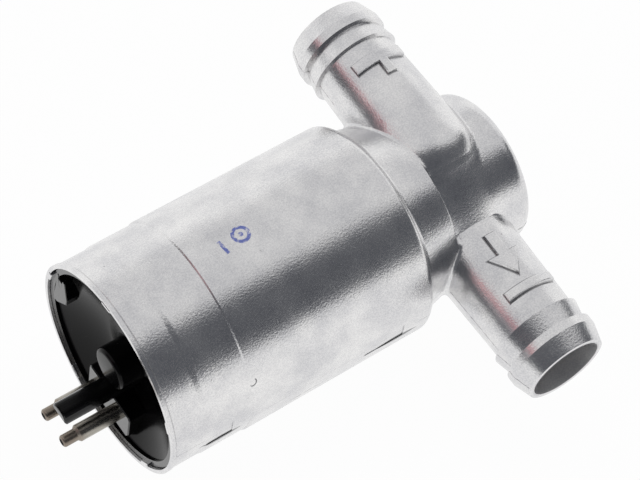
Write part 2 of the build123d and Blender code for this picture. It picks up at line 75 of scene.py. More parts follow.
# %% [markdown]
# ## Writing finishes as sums
# A finish is easier to read as arithmetic than as a drawing of nodes. `Wire` holds one socket, and
# adding or multiplying wires lays down Math nodes behind the scene. `Finish` owns one material and
# has a single method, `node`, for everything else. The other way, placing each node and each link
# by hand, takes four times the lines and hides the formula.


# %% wires
class Wire:
    """One output socket of a finish. Arithmetic on wires adds Math nodes to the same tree."""

    def __init__(self, finish, socket):
        self.finish, self.socket = finish, socket

    def math(self, operation, *values):
        """Add a Math node with the values on its sockets, in their order."""
        return self.finish.node("ShaderNodeMath", {"operation": operation}, dict(enumerate(values)))

    def __add__(self, other):
        return self.math("ADD", self, other)

    def __radd__(self, other):
        return self.math("ADD", other, self)

    def __sub__(self, other):
        return self.math("SUBTRACT", self, other)

    def __rsub__(self, other):
        return self.math("SUBTRACT", other, self)

    def __mul__(self, other):
        return self.math("MULTIPLY", self, other)

    def __rmul__(self, other):
        return self.math("MULTIPLY", other, self)

    def __abs__(self):
        return self.math("ABSOLUTE", self)

    def sine(self):
        """Sine of this wire, in radians."""
        return self.math("SINE", self)

    def larger(self, other):
        """The larger of the two wires."""
        return self.math("MAXIMUM", self, other)

    def angle_to(self, other):
        """Angle in radians whose tangent is this wire over the other."""
        return self.math("ARCTAN2", self, other)

    def length_with(self, other):
        """Length of the vector that has the two wires as its sides."""
        return self.math("SQRT", self * self + other * other)

    def ramp(self, low, high):
        """0 at low, 1 at high and a smooth step between them; low may be the larger number."""
        values = {"Value": self, "From Min": low, "From Max": high}
        return self.finish.node("ShaderNodeMapRange", {"interpolation_type": "SMOOTHSTEP"}, values)


print("a wire has", [name for name in vars(Wire) if not name.startswith("_")])


# %% graphs and finishes
class Graph:
    """A tree of nodes, which grows by one node at a time."""

    def __init__(self, tree):
        self.tree = tree

    def node(self, kind, settings=None, sockets=None, output=0):
        """Add a node: its settings first, then a value or a wire on each socket. Returns one output."""
        made = self.tree.nodes.new(kind)
        for name, value in (settings or {}).items():
            setattr(made, name, value)
        for name, value in (sockets or {}).items():
            if isinstance(value, Wire):
                self.tree.links.new(value.socket, made.inputs[name])
            else:
                made.inputs[name].default_value = value
        return Wire(self, made.outputs[output])

    def plain_rays(self):
        """1 for a ray from the camera, off gloss or through glass, and 0 for one that only lights."""
        rays = ("Is Camera Ray", "Is Glossy Ray", "Is Transmission Ray")
        camera_ray, glossy_ray, through_ray = (self.node("ShaderNodeLightPath", output=ray) for ray in rays)
        return camera_ray.larger(glossy_ray.larger(through_ray))


class Finish(Graph):
    """One material: its node tree, its shader and the wires x, y and z of a point, in millimetres."""

    def __init__(self, name, constants):
        self.material = bpy.data.materials.new(name)
        self.material.use_nodes = True
        super().__init__(self.material.node_tree)
        self.shader = self.tree.nodes["Principled BSDF"]
        for socket, value in constants.items():
            self.shader.inputs[socket].default_value = value
        self.place = self.node("ShaderNodeTexCoord", output="Object")
        axes = (self.node("ShaderNodeSeparateXYZ", {}, {"Vector": self.place}, axis) for axis in "XYZ")
        self.x, self.y, self.z = (axis * 1000.0 for axis in axes)

    def noise(self, size, detail=3.0, stretch=(1, 1, 1)):
        """Noise from 0 to 1 in grains of about size mm, longer along an axis whose stretch is below 1."""
        place = self.node("ShaderNodeMapping", {}, {"Vector": self.place, "Scale": stretch})
        grains = {"Vector": place, "Scale": 1000.0 / size, "Detail": detail}
        return self.node("ShaderNodeTexNoise", {}, grains)

    def mix(self, share, first, second):
        """Colour that goes from first to second as share goes from 0 to 1."""
        return self.node("ShaderNodeMix", {"data_type": "RGBA"}, {0: share, 6: first, 7: second}, 2)

    def feed(self, **wires):
        """Link wires to the shader. A space in a socket's name is written as an underscore."""
        for name, wire in wires.items():
            self.tree.links.new(wire.socket, self.shader.inputs[name.replace("_", " ")])

    def relief(self, height, depth):
        """Turn a height from 0 to 1 into bumps that are depth mm tall."""
        self.feed(Normal=self.node("ShaderNodeBump", {}, {"Height": height, "Distance": depth * mm}))


def rgb(red, green, blue):
    """Colour from display levels of 0 to 255, made linear and given a full alpha."""
    levels = np.array([red, green, blue]) / 255
    linear = np.where(levels < 0.0405, levels / 12.92, ((levels + 0.055) / 1.055) ** 2.4)
    return (*map(float, linear), 1.0)


print("mid grey 128 is", [round(v, 3) for v in rgb(128, 128, 128)])

# %% [markdown]
# ## Surfaces from two parameters
# Every new piece is a grid of points: its rows follow one parameter and its columns the other. The
# mesh is filled from whole arrays. Where a row shrinks to one point, as at the middle of a disc,
# merging the doubles closes the pole and leaves triangles. Edges sharper than the crease angle stay
# sharp, and all the rest is shaded smooth.

# %% grid pieces
merge_distance, crease_angle = 0.002, 34


def grid_faces(rows, columns, ring):
    """Corner numbers of a grid's quads, as whole arrays; ring joins the last column to the first."""
    index = np.arange(rows * columns).reshape(rows, columns)
    along = np.concatenate([index, index[:, :1]], axis=1) if ring else index
    quads = [along[:-1, :-1], along[:-1, 1:], along[1:, 1:], along[1:, :-1]]
    return np.stack(quads, axis=-1).reshape(-1, 4)


def grid_piece(name, grids, ring=False, grime=None):
    """One smooth mesh from grids of rows x columns x 3 points in mm, with its poles merged and its faces
    outwards. A share of painted shade for each point may go with it, for a finish to read."""
    faces, points, start = [], [], 0
    for grid in grids:
        faces.append(grid_faces(*grid.shape[:2], ring) + start)
        points.append(grid.reshape(-1, 3) * mm)
        start += len(points[-1])
    mesh = bpy.data.meshes.new(name)
    mesh.from_pydata(np.concatenate(points).tolist(), [], np.concatenate(faces).tolist())
    if grime is not None:
        shares = mesh.attributes.new("grime", "FLOAT", "POINT")
        shares.data.foreach_set("value", grime.astype(np.float32))
    shell = bmesh.new()
    shell.from_mesh(mesh)
    bmesh.ops.remove_doubles(shell, verts=shell.verts, dist=merge_distance * mm)
    bmesh.ops.recalc_face_normals(shell, faces=shell.faces)
    shell.to_mesh(mesh)
    shell.free()
    mesh.polygons.foreach_set("use_smooth", np.ones(len(mesh.polygons), bool))
    mesh.set_sharp_from_angle(angle=radians(crease_angle))
    piece = bpy.data.objects.new(name, mesh)
    bpy.context.scene.collection.objects.link(piece)
    print(name, len(mesh.vertices), "points", len(mesh.polygons), "faces")
    return piece


print("a ring of 3 rows and 8 columns has", len(grid_faces(3, 8, True)), "faces")

# %% [markdown]
# ## The stage: floor, curtain and ceiling
# Metal shows its surroundings, so the room counts for more than the lamps. In the photograph the top
# of the can mirrors an even pale room, and its front side a dark band: the unlit half of the studio.
# A grey curtain there gives that band. It hangs lower on the left, where it is paler and a little
# pink, as the reflections show. A dome over everything keeps the sky a step below white, because a
# white one would wash out the grain of the metal. Lamps alone could not draw such edges. Curtain and
# dome hide from the camera, so that the background stays white from every side.

# %% floor
floor_level, floor_half, floor_white = -25.03, 2500.0, 0.97
edges = np.array([-floor_half, floor_half])
flat_x, flat_y = np.meshgrid(edges, edges)
floor_grid = np.stack([flat_x, flat_y, np.full_like(flat_x, floor_level)], axis=-1)
floor = grid_piece("floor", [floor_grid])
floor_finish = Finish("studio_floor", {"Base Color": rgb(244, 244, 245), "Roughness": 0.9})
white = floor_finish.node("ShaderNodeEmission", {}, {"Color": (1, 1, 1, 1), "Strength": 1.0})
lit = Wire(floor_finish, floor_finish.shader.outputs[0])
plain = floor_finish.plain_rays() * floor_white
shown = floor_finish.node("ShaderNodeMixShader", {}, {0: plain, 1: lit, 2: white})
surface = floor_finish.tree.nodes["Material Output"].inputs["Surface"]
floor_finish.tree.links.new(shown.socket, surface)
floor.data.materials.append(floor_finish.material)
floor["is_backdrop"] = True

# %% curtain
curtain_radius, curtain_start, curtain_end = 1200.0, -135, 95
top_bearing = np.array([-135, -110, -100, -90, -60, -19, 30, 47, 58, 68, 73, 80, 90, 95])
top_tilt = np.array([29, 31, 42, 58, 77, 82, 75, 65.4, 59.5, 46, 38, 30, 20, 10])
foot_bearing = np.array([-135, -110, -20, 22, 27, 47, 60, 95])
foot_tilt = np.array([-1, -1, 10, 17.5, 15.8, 10, 5, 0])
bearing, rise = np.meshgrid(np.linspace(curtain_start, curtain_end, 160), np.linspace(0, 1, 24))
low = np.interp(bearing, foot_bearing, foot_tilt)
high = np.interp(bearing, top_bearing, top_tilt)
tilt = np.radians(low + (high - low) * rise)
turn = np.radians(bearing)
curtain_grid = curtain_radius * np.stack([np.sin(turn), -np.cos(turn), np.tan(tilt)], axis=-1)
curtain = grid_piece("curtain", [curtain_grid])

# %% curtain finish
glowing = {"Base Color": rgb(12, 12, 12), "Roughness": 1.0, "Emission Strength": 1.0}
pink_above, low_below = 530, 490
left_from, left_full, far_from, far_full = map(radians, (-90, -104, -111, -114))
curtain_finish = Finish("grey_curtain", glowing)
round_room = curtain_finish.x.angle_to(-1 * curtain_finish.y)
lower_part = curtain_finish.z.ramp(pink_above, low_below)
far_left = round_room.ramp(far_from, far_full)
low_tone = curtain_finish.mix(far_left, rgb(176, 176, 179), rgb(92, 92, 96))
left_tone = curtain_finish.mix(lower_part, rgb(216, 158, 162), low_tone)
left_part = round_room.ramp(left_from, left_full)
curtain_finish.feed(Emission_Color=curtain_finish.mix(left_part, rgb(91, 93, 98), left_tone))
curtain.data.materials.append(curtain_finish.material)
curtain.visible_camera = False
curtain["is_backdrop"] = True
print("curtain finish has", len(curtain_finish.tree.nodes), "nodes")

# %% ceiling
ceiling_radius, ceiling_foot = 12000.0, 25.0
around = np.linspace(0, 2 * pi, 48, endpoint=False)
around, rise = np.meshgrid(around, np.radians(np.linspace(ceiling_foot, 90, 16)))
dome = [np.cos(rise) * np.cos(around), np.cos(rise) * np.sin(around), np.sin(rise)]
ceiling = grid_piece("ceiling", [ceiling_radius * np.stack(dome, axis=-1)], ring=True)
ceiling_finish = Finish("pale_ceiling", {**glowing, "Emission Color": rgb(224, 224, 225)})
ceiling.data.materials.append(ceiling_finish.material)
ceiling.visible_camera = False
ceiling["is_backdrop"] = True

# %% [markdown]
# ## Room light, softbox and camera
# The world is white to the camera and in reflections, and a little dimmer as a lamp, which leaves
# room for one softbox overhead. A colour then renders about as it is written. The camera looks down
# at 59 degrees over the corner of the connector end, rolled a little, through a long lens: its place
# comes from fitting the circles of the can and the two nozzle mouths to the photograph.

# %% world and softbox
lamp_level, shown_level = 0.7, 1.0
world = bpy.data.worlds.new("white_room")
bpy.context.scene.world = world
world.use_nodes = True
room = Graph(world.node_tree)
background = room.tree.nodes["Background"]
background.inputs["Color"].default_value = (1, 1, 1, 1)
strength = lamp_level + room.plain_rays() * (shown_level - lamp_level)
room.tree.links.new(strength.socket, background.inputs["Strength"])

softbox = bpy.data.lights.new("softbox", "AREA")
softbox.shape, softbox.size, softbox.energy = "DISK", 0.9, 2.6
lamp = bpy.data.objects.new("softbox", softbox)
lamp.location = Vector((0.25, 0.35, 0.95))
lamp.rotation_euler = (-lamp.location).to_track_quat("-Z", "Y").to_euler()
lamp.visible_glossy = False
bpy.context.scene.collection.objects.link(lamp)
bpy.context.scene.view_settings.view_transform = "Standard"
print("softbox", tuple(round(v, 2) for v in lamp.location), softbox.energy, "W")

# %% camera
sensor_width, focal_pixels, photo_width = 36.0, 2525.5, 640
eye = Vector((-189.41, -194.87, 471.67)) * mm
right = Vector((0.8149, -0.5687, 0.1117)).normalized()
forward = Vector((0.3682, 0.3592, -0.8576)).normalized()
up = right.cross(forward).normalized()
lens = bpy.data.cameras.new("long_lens")
lens.sensor_width, lens.lens = sensor_width, sensor_width * focal_pixels / photo_width
lens.clip_start, lens.clip_end = 0.01, 50.0
camera = bpy.data.objects.new("camera", lens)
camera.matrix_world = Matrix.Translation(eye) @ Matrix((right, up, -forward)).transposed().to_4x4()
bpy.context.scene.collection.objects.link(camera)
bpy.context.scene.camera = camera
print("camera", tuple(round(v, 3) for v in eye), "lens", round(lens.lens, 1), "mm")

# %% [markdown]
# ## Marks on the casting
# The can, the head and the nozzles are one pressure die casting. An inspector's blue stamp, a plain
# ring round a dot and a bar, sits on the band. Along the front, lenses of painted shade lie on the pads
# where the gates were broken off, and nearer the rim a crescent of painted shade marks an ejector's dent.
# Painting these as an image would fix their scale, so each is a formula on the band unrolled: x along
# the can, and the arc from the side round to the top.

# %% ink mark
band_radius = 25.0
ring_place, ring_radius = (-10.88, 37.35), 1.75
bar_place, bar_lean, bar_half, bar_end = (-15.67, 38.15), (0.123, 0.992), 1.75, 0.1
stroke, bleed, fade, dot_bleed = 0.42, 0.08, 0.12, 0.25


def ink_mark(skin):
    """Share of blue ink on the band unrolled to x and arc in mm. The ring is where the distance from its
    middle is near its radius, the dot where it is small, and the bar is a box in leaning coordinates."""
    arc = skin.z.angle_to(skin.y) * band_radius
    ring_x, ring_arc = skin.x - ring_place[0], arc - ring_place[1]
    away = ring_x.length_with(ring_arc)
    ring = abs(away - ring_radius).ramp(stroke + bleed, stroke - fade)
    dot = away.ramp(stroke + dot_bleed, stroke)
    bar_x, bar_arc = skin.x - bar_place[0], arc - bar_place[1]
    along = bar_x * bar_lean[0] + bar_arc * bar_lean[1]
    aside = bar_x * bar_lean[1] - bar_arc * bar_lean[0]
    bar = abs(along).ramp(bar_half + bar_end, bar_half - bar_end)
    bar = bar * abs(aside).ramp(stroke + bleed, stroke - fade)
    outside = skin.y.length_with(skin.z).ramp(band_radius - 1, band_radius - 0.5)
    return (ring + dot + bar) * outside * skin.noise(0.7, 2.0).ramp(0.3, 0.55)


print("ink ring", round(np.degrees(ring_place[1] / band_radius)), "degrees round the can")

# %% painted shade at the gates and in the ejector dent, and the bores
# Each gate: start and end along x, level in z and half height, in mm.
gates = ((-36.4, -25.6, -2.3, 0.85), (-14.8, -4.3, -3.6, 0.16), (8.9, 19.9, -2.2, 0.85))
dent_place, dent_radius = (-22.9, 67.2), 0.9
bore_radius, bore_edge = 8.7, 0.2
nozzle_x = 40.25
outlet_mouth, inlet_mouth, inlet_z = -19.0, 19.5, 12.0


def gate_pad_shade(skin):
    """Share of painted shade along the pads where the gates were broken off. Each patch is a lens: half its
    height, less the square of how far along it a point is, less the distance from its middle line."""
    shaded_patches = 0.0
    for start, end, level, half_height in gates:
        along = (skin.x - (start + end) / 2) * (2 / (end - start))
        within = (1 - along * along) * half_height - abs(skin.z - level)
        shaded_patches = shaded_patches + within.ramp(-0.06, 0.12) * abs(along).ramp(1.0, 0.98)
    front = skin.y.ramp(2 - band_radius, 1 - band_radius)
    return shaded_patches * front * skin.noise(1.2, 2.0).ramp(0.2, 0.4)


def ejector_dent_shade(skin):
    """Share of painted shade on one side of an ejector's dent: half of a thin ring on the band unrolled to
    x and arc.
    """
    arc = skin.z.angle_to(skin.y) * band_radius
    side, up = skin.x - dent_place[0], arc - dent_place[1]
    ring = abs(side.length_with(up) - dent_radius).ramp(0.2, 0.08)
    outside = skin.y.length_with(skin.z).ramp(band_radius - 0.6, band_radius - 0.3)
    return ring * (side + up).ramp(-0.1, 0.5) * outside


def nozzle_bores(skin):
    """1 on the wall of either nozzle's bore and 0 outside: near the nozzle's axis and past its root."""
    across, wall = skin.x - nozzle_x, bore_radius + bore_edge
    outlet = across.length_with(skin.z).ramp(wall, bore_radius)
    inlet = across.length_with(skin.z - inlet_z).ramp(wall, bore_radius)
    outlet = outlet * skin.y.ramp(outlet_mouth + 1, outlet_mouth)
    return outlet + inlet * skin.y.ramp(inlet_mouth - 1, inlet_mouth)


print("gate scars", [round(end - start, 1) for start, end, *_ in gates], "mm long")

# %% [markdown]
# ## The skin of the die casting
# The casting is tumbled to a satin grey. Its skin has grains of 0.4 mm, dimples of about 2 mm, broad
# cloudy patches and a few dark pits, and a lathe has left rings on the collar. Painted shade darkens the
# corner at the foot of a raised sign, which no formula in space can find, so those pieces carry it as
# an attribute of their points. Inside the nozzles the metal is as cast, and rougher.

# %% cast aluminium
collar_end = -23.0


def cast_aluminium():
    """Grey metal: grain and dimples in relief, clouds, specks and pits in colour, painted shade at the
    gates, in the ejector dent and at the foot of each sign, lathe rings.
    """
    skin = Finish("cast_aluminium", {})
    grain, dimples = skin.noise(0.4, 2.0), skin.noise(1.9, 2.0)
    clouds, specks, pits = skin.noise(7.0, 4.0), skin.noise(0.35, 1.0), skin.noise(1.0, 2.0)
    rings = skin.noise(0.45, 2.0, (1, 0.015, 0.015)) * skin.x.ramp(collar_end, collar_end - 0.4)
    shade = clouds.ramp(0.25, 0.75) * 0.6 + specks.ramp(0.28, 0.72) * 0.4
    tone = skin.mix(shade, rgb(200, 200, 203), rgb(238, 237, 236))
    # painted shade: the foot of each raised sign is darkened, by a share that its points carry
    grime = skin.node("ShaderNodeAttribute", {"attribute_name": "grime"}, output="Fac")
    dark = pits.ramp(0.74, 0.8) * 0.35
    # painted shade: lenses along the gate pads and a crescent in the ejector dent
    dark = dark.larger((gate_pad_shade(skin) + ejector_dent_shade(skin)) * 0.85)
    dark = dark.larger(grime * 0.6)
    tone = skin.mix(dark, tone, rgb(60, 60, 64))
    ink = ink_mark(skin) * 0.85
    skin.feed(Base_Color=skin.mix(ink, tone, rgb(58, 82, 176)), Metallic=1 - ink * 0.8)
    skin.feed(Roughness=0.16 + grain * 0.1 + clouds * 0.06 + ink * 0.2 + nozzle_bores(skin) * 0.3)
    skin.relief(grain * 0.5 + dimples * 0.15 + rings * 0.35, 0.075)
    return skin.material


finishes = {"cast_aluminium": cast_aluminium()}
print("finish", *finishes)

# %% [markdown]
# ## Mouldings and rubber
# The cap is glass-filled nylon with a polished mould face, nearly black, and its outermost faces are
# polished further by use. The bobbins are the same resin without pigment, so they look like old
# ivory. The seals are matt. A flat colour would look like paint: each gets a faint flow texture, and
# its gloss wanders a little. One recipe serves all three, with a line of numbers for each.

# %% plastics
polish_from, polish_full, polish = -41.7, -42.2, 0.6
polish_inner, polish_outer = 5.2, 6.0


def moulding(name, deep, pale, shine, gloss, wander, depth):
    """Plastic or rubber: two close tones in flow streaks, with a gloss that wanders and fine relief. The
    polish is a clear coat that comes in along x, outside the boss."""
    resin = Finish(name, {"IOR": 1.5, "Specular IOR Level": shine, "Coat Roughness": 0.08})
    flow, fine = resin.noise(4.0, 4.0, (0.4, 1, 1)), resin.noise(0.35, 2.0)
    specks = resin.noise(0.8, 1.0).ramp(0.74, 0.82) * 0.12
    tone = resin.mix(flow.ramp(0.3, 0.7), rgb(*deep), rgb(*pale))
    resin.feed(Base_Color=resin.mix(specks, tone, rgb(120, 120, 120)))
    resin.feed(Roughness=gloss + (flow - 0.5) * wander + fine * 0.06)
    past_boss = resin.y.length_with(resin.z).ramp(polish_inner, polish_outer)
    resin.feed(Coat_Weight=resin.x.ramp(polish_from, polish_full) * past_boss * polish)
    resin.relief(fine * 0.6 + flow * 0.4, depth)
    return resin.material


plastics = {
    "black_plastic": dict(deep=(9, 9, 10), pale=(15, 15, 16),
                          shine=0.11, gloss=0.15, wander=0.1, depth=0.012),
    "bobbin_plastic": dict(deep=(198, 188, 158), pale=(214, 206, 180),
                           shine=0.5, gloss=0.4, wander=0.15, depth=0.03),
    "black_rubber": dict(deep=(20, 20, 20), pale=(31, 31, 31),
                         shine=0.4, gloss=0.68, wander=0.2, depth=0.04),
}
finishes.update({name: moulding(name, **look) for name, look in plastics.items()})
print("plastics", *plastics)

# %% [markdown]
# ## Turned, ground and rolled metal
# The shaft, the bearings and the slide are turned, so their marks run round the can's axis: noise
# that is squeezed along y and z varies only with x. The iron of the stator is rolled and duller. The
# same recipe takes its colours and the direction of its marks.


# %% metals
def worked_metal(name, deep, pale, gloss, marks, depth):
    """Metal with tool marks: streaks along the directions where marks is small, over a faint mottle."""
    metal = Finish(name, {"Metallic": 1.0})
    streaks, mottle = metal.noise(0.3, 3.0, marks), metal.noise(2.5, 3.0)
    metal.feed(Base_Color=metal.mix(streaks * 0.5 + mottle * 0.5, rgb(*deep), rgb(*pale)))
    metal.feed(Roughness=gloss + streaks * 0.14 + mottle * 0.08)
    metal.relief(streaks, depth)
    return metal.material


turned_marks, rolled_marks, no_marks = (1, 0.02, 0.02), (0.02, 1, 1), (1, 1, 1)
metals = {
    "steel": dict(deep=(168, 170, 174), pale=(200, 201, 204),
                  gloss=0.12, marks=turned_marks, depth=0.01),
    "spring_steel": dict(deep=(84, 90, 108), pale=(124, 128, 140),
                         gloss=0.2, marks=turned_marks, depth=0.01),
    "soft_iron": dict(deep=(104, 101, 98), pale=(138, 135, 131),
                      gloss=0.34, marks=rolled_marks, depth=0.02),
    "cage_brass": dict(deep=(188, 148, 72), pale=(218, 182, 104),
                       gloss=0.24, marks=turned_marks, depth=0.01),
    "magnet": dict(deep=(52, 52, 56), pale=(78, 78, 82),
                   gloss=0.36, marks=no_marks, depth=0.03),
    "slide_aluminium": dict(deep=(186, 187, 189), pale=(208, 209, 211),
                            gloss=0.18, marks=turned_marks, depth=0.02),
}
finishes.update({name: worked_metal(name, **look) for name, look in metals.items()})
print("metals", *metals)

# %% [markdown]
# ## Plug pins and coil wire
# The pins are brass under tin: the tin is drawn out along the pin, and towards the tip it has worn to
# brown. The end face of each pin has a hollow, which is small enough that its shade is painted as a dark
# disc. The windings are enamelled copper, and their turns lie flat round the iron core, so a wave along
# z gives one ridge for each layer of wire.

# %% pins and wire
pin_y, pin_z = 3.6, -13.9
pin_end, wear_end, hollow_radius, hollow_edge = -56.45, -51.6, 0.85, 0.1
wire_pitch = 0.36


def tinned_brass():
    """Tin with streaks along x, worn to brown brass towards the tip, and painted shade for the hollow in
    the end face.
    """
    tin = Finish("tinned_brass", {"Metallic": 1.0})
    streaks, spots = tin.noise(0.3, 3.0, (0.06, 1, 1)), tin.noise(0.9, 3.0)
    worn = (tin.x + spots * 2.0).ramp(wear_end + 2.0, wear_end - 1.2)
    away = (abs(tin.y) - pin_y).length_with(tin.z - pin_z)
    # painted shade: a dark disc in the end face where the pin's hollow is
    hollow_shade = away.ramp(hollow_radius + hollow_edge, hollow_radius - hollow_edge)
    hollow_shade = hollow_shade * tin.x.ramp(pin_end + 0.5, pin_end + 0.3)
    tone = tin.mix(streaks, rgb(140, 136, 128), rgb(188, 184, 175))
    tone = tin.mix(worn * 0.45, tone, rgb(116, 92, 74))
    tin.feed(Base_Color=tin.mix(hollow_shade, tone, rgb(20, 18, 16)))
    tin.feed(Roughness=0.2 + streaks * 0.14 + worn * 0.12 + hollow_shade * 0.4)
    tin.relief(streaks, 0.015)
    return tin.material


def copper_wire():
    """Enamelled turns: a sine along z for the layers of wire, with painted shade between them."""
    coil = Finish("copper_wire", {"Metallic": 0.85, "Coat Weight": 0.4})
    layer = (coil.z * (2 * pi / wire_pitch)).sine() * 0.5 + 0.5
    patches = coil.noise(3.0, 3.0)
    tone = coil.mix(patches, rgb(168, 84, 42), rgb(204, 118, 66))
    # painted shade in the grooves between the turns of wire
    coil.feed(Base_Color=coil.mix(layer.ramp(0.35, 0.0) * 0.8, tone, rgb(64, 26, 14)))
    coil.feed(Roughness=0.26 + patches * 0.14)
    coil.relief(layer, 0.12)
    return coil.material


finishes["tinned_brass"] = tinned_brass()
finishes["copper_wire"] = copper_wire()
for name, node in nodes.items():
    node.data.materials.clear()
    node.data.materials.append(finishes[slot_of[name]])
print("finishes", len(finishes), "on", len(nodes), "nodes")

# %% [markdown]
# ## The connector cap
# The plug end is one black moulding: a wide bowl with a lip, a round boss over the rear bearing, a
# block for the two pins, a half-round key post and a ledge by the lip. The solid cap has these in a
# plainer form, with a flat floor. Cutting and filling a copy of its mesh would leave slivers, so it is
# made anew and stands for that node: a profile turned round the can's axis gives bowl, boss and back,
# and each raised part is a stack of rings, its outline drawn in towards an inner point.


# %% turned profiles
def corner_cuts(profile, cut):
    """Profile with each inner corner cut: two points, each a cut away from the corner along one side."""
    before, corner, after = profile[:-2], profile[1:-1], profile[2:]
    back, on = before - corner, after - corner
    back = corner + back / np.linalg.norm(back, axis=1, keepdims=True) * cut
    on = corner + on / np.linalg.norm(on, axis=1, keepdims=True) * cut
    return np.concatenate([profile[:1], np.stack([back, on], axis=1).reshape(-1, 2), profile[-1:]])


def turned(profile, columns=160):
    """Surface of (x, radius) points turned round the can's axis: y and z are radius by cosine and sine."""
    turn = np.linspace(0, 2 * pi, columns, endpoint=False)
    x, radius = profile[:, :1], profile[:, 1:]
    return np.stack([x + 0 * turn, radius * np.cos(turn), radius * np.sin(turn)], axis=-1)


square = np.array([(0.0, 0.0), (0.0, 1.0), (1.0, 1.0)])
print("a square corner with 0.2 cut off", corner_cuts(square, 0.2)[1:-1].tolist())


# %% stacked rings
def stacked_rings(corners, inner, inset, fill, steps=12):
    """Rings of an outline with evenly divided sides. Its corners move in by each inset along their mitres,
    the sum of the two sides' normals over one plus their product. Inside the first ring, the rings of
    fill are that one drawn towards the inner point; below the last, the outline closes on that point."""
    corners, inner = np.array(corners, float), np.array(inner, float)
    following = np.roll(corners, -1, axis=0)
    ahead = following - corners
    normal = np.stack([ahead[:, 1], -ahead[:, 0]], axis=-1) / np.linalg.norm(ahead, axis=1, keepdims=True)
    area = np.sum(corners[:, 0] * following[:, 1] - corners[:, 1] * following[:, 0])
    normal = normal * np.sign(area)
    earlier = np.roll(normal, 1, axis=0)
    mitre = (normal + earlier) / (1 + np.sum(normal * earlier, axis=1, keepdims=True))
    stack = corners[None] - np.array(inset, float)[:, None, None] * mitre[None]
    share = np.linspace(0, 1, steps, endpoint=False)[:, None]
    rings = stack[:, :, None] + (np.roll(stack, -1, axis=1) - stack)[:, :, None] * share
    rings = rings.reshape(len(inset), -1, 2)
    top = inner + np.array(fill, float)[:, None, None] * (rings[0] - inner)
    return np.concatenate([top, rings, np.broadcast_to(inner, (1, *rings.shape[1:]))])


def raised_part(corners, inner, top, foot, edge, steps=12):
    """Closed post on an outline of (y, z) corners, from x = foot out to x = top, with a cut edge."""
    rings = stacked_rings(corners, inner, [edge, 0, 0], [0], steps)
    x = np.array([top, top, top + edge, foot, foot])[:, None]
    return np.stack([x + 0 * rings[..., 0], rings[..., 0], rings[..., 1]], axis=-1)


post = raised_part([(0, 0), (4, 0), (0, 3)], (1, 1), top=0, foot=5, edge=0.2)
print("a post on a triangle has", post.shape[0], "rings of", post.shape[1], "points")

# %% cap profile
rim_x, seat_x = -43.25, -31.25
floor_x, bowl_lip_x, lip_x = -36.85, -41.65, -42.55
boss_radius, bowl_radius, lip_radius, cap_radius = 5.0, 9.0, 22.1, 23.67
boss_round, foot_round, bowl_curve, cap_edge = 0.9, 0.8, 1.35, 0.2
groove_x, groove_half, groove_depth = -33.85, 1.0, 2.0
rib_outer, rib_inner, rib_height = 22.32, 20.82, 2
pocket_radius, pocket_depth, well_radius, well_depth = 7.02, 5, 3.5, 6

share = np.linspace(0, 1, 24)[:, None]
bowl = np.array([[floor_x, bowl_radius]]) + share * [[0, lip_radius - bowl_radius]]
bowl = bowl + share**bowl_curve * [[bowl_lip_x - floor_x, 0]]
quarter = radians(90) * np.linspace(0, 1, 9)[:, None]
boss_x = rim_x + boss_round - boss_round * np.cos(quarter)
boss = np.concatenate([boss_x, boss_radius - boss_round + boss_round * np.sin(quarter)], axis=1)
foot_x = floor_x - foot_round + foot_round * np.sin(quarter)
foot = np.concatenate([foot_x, boss_radius + foot_round - foot_round * np.cos(quarter)], axis=1)
groove_floor = cap_radius - groove_depth
back = np.array([
    (lip_x, lip_radius), (lip_x, cap_radius),
    (groove_x - groove_half, cap_radius), (groove_x - groove_half, groove_floor),
    (groove_x + groove_half, groove_floor), (groove_x + groove_half, cap_radius),
    (seat_x, cap_radius), (seat_x, rib_outer),
    (seat_x + rib_height, rib_outer), (seat_x + rib_height, rib_inner),
    (seat_x, rib_inner), (seat_x, pocket_radius),
    (seat_x - pocket_depth, pocket_radius), (seat_x - pocket_depth, well_radius),
    (seat_x - well_depth, well_radius), (seat_x - well_depth, 0),
])
cap_profile = np.concatenate([[[rim_x, 0]], boss, foot, bowl, corner_cuts(back, cap_edge)])
print("cap profile", len(cap_profile), "points")

# %% connector cap
block = [
    (7.3, -20), (7.9, -19), (7.9, -12), (7.3, -11.2),
    (-7.3, -11.2), (-7.9, -12), (-7.9, -19), (-7.3, -20),
]
key_y, key_z, key_radius, key_reach = -0.6, -7.3, 2.7, 12.2
arch = np.radians(np.linspace(0, 180, 15))
key = np.stack([key_y + key_radius * np.cos(arch), key_z + key_radius * np.sin(arch)], axis=-1)
ledge = [
    (22.3, -3.4), (20.6, -2.9), (17.4, 0.4), (17.2, 2.6), (18.3, 8.0),
    (19.2, 8.3), (19.4, 6.9), (20.6, 7.1), (20.7, 8.6), (21.2, 8.4),
]
cap_grids = [
    turned(cap_profile),
    raised_part(block, (0, -15.6), top=rim_x + 0.9, foot=floor_x + 1, edge=0.25),
    raised_part(key, (key_y, -6.2), top=rim_x - key_reach, foot=floor_x + 0.3, edge=0.35, steps=4),
    raised_part(ledge, (19.9, 3.0), top=rim_x + 0.55, foot=rim_x + 3.5, edge=0.15, steps=6),
]
moulded_cap = grid_piece("moulded_cap", cap_grids, ring=True)
moulded_cap.data.materials.append(finishes["black_plastic"])
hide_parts("connector_cap")
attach(moulded_cap, "housing")

# %% [markdown]
# ## Stakes and the inlet hood
# After the cap was pressed in, five tabs of the rim were staked over its lip. The inlet joins the head
# under a hood: in the solids it ends in a ball, while on the real casting its roof slopes down and runs
# out on the head. The roof is half a tube that goes down that slope. Where it would pass below the
# head's skin, a soft maximum of the two radii takes over, which leaves a small fillet between them.

# %% stakes
tab_outline, tab_middle = [(24.2, -1.7), (24.2, 1.7), (23.2, 1.5), (23.2, -1.5)], (23.7, 0)
stake_count, first_stake = 5, 12


